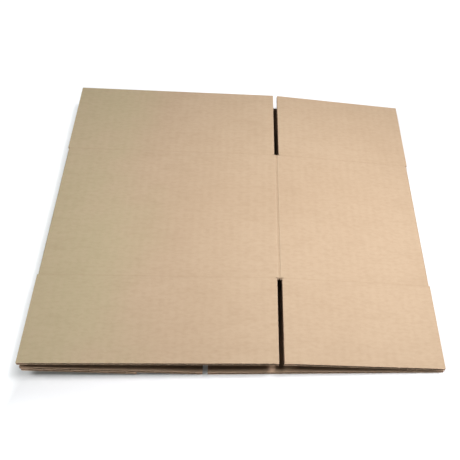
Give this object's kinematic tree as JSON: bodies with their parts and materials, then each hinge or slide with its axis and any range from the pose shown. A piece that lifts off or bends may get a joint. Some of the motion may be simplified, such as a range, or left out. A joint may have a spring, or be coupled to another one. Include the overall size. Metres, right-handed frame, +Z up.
{
  "type": "flattened cardboard box",
  "caption": "Flattened slotted corrugated carton, folded at its sides and lying half sprung open, with hinged upper flaps.",
  "frame": {"origin": "middle of the carton's outline, on the floor that it lies on", "axes": "+Z up; +X across the panels, from the raised left fold to the flat right fold; +Y along the flutes, away from the nearer flaps"},
  "size_m": [0.3704, 0.3324, 0.03],
  "materials": {
    "kraft_board": "matte"
  },
  "bodies": {
    "folded_body": {"folded_body": "kraft_board"},
    "near_wide_flap": {"near_wide_flap": "kraft_board"},
    "near_narrow_flap": {"near_narrow_flap": "kraft_board"},
    "far_wide_flap": {"far_wide_flap": "kraft_board"},
    "far_narrow_flap": {"far_narrow_flap": "kraft_board"}
  },
  "joints": [
    {"name": "near_wide_flap_hinge", "type": "hinge", "parent": "folded_body", "child": "near_wide_flap", "pos_m": [-0.07535, -0.0814, 0.02733], "axis": [-0.9997, 0, 0.0244], "range_deg": [0, 150]},
    {"name": "near_narrow_flap_hinge", "type": "hinge", "parent": "folded_body", "child": "near_narrow_flap", "pos_m": [0.11211, -0.0814, 0.01667], "axis": [-0.9945, 0, 0.1045], "range_deg": [0, 150]},
    {"name": "far_wide_flap_hinge", "type": "hinge", "parent": "folded_body", "child": "far_wide_flap", "pos_m": [-0.07535, 0.0732, 0.02733], "axis": [0.9997, 0, -0.0244], "range_deg": [0, 150]},
    {"name": "far_narrow_flap_hinge", "type": "hinge", "parent": "folded_body", "child": "far_narrow_flap", "pos_m": [0.11211, 0.0732, 0.01667], "axis": [0.9945, 0, -0.1045], "range_deg": [0, 150]}
  ]
}
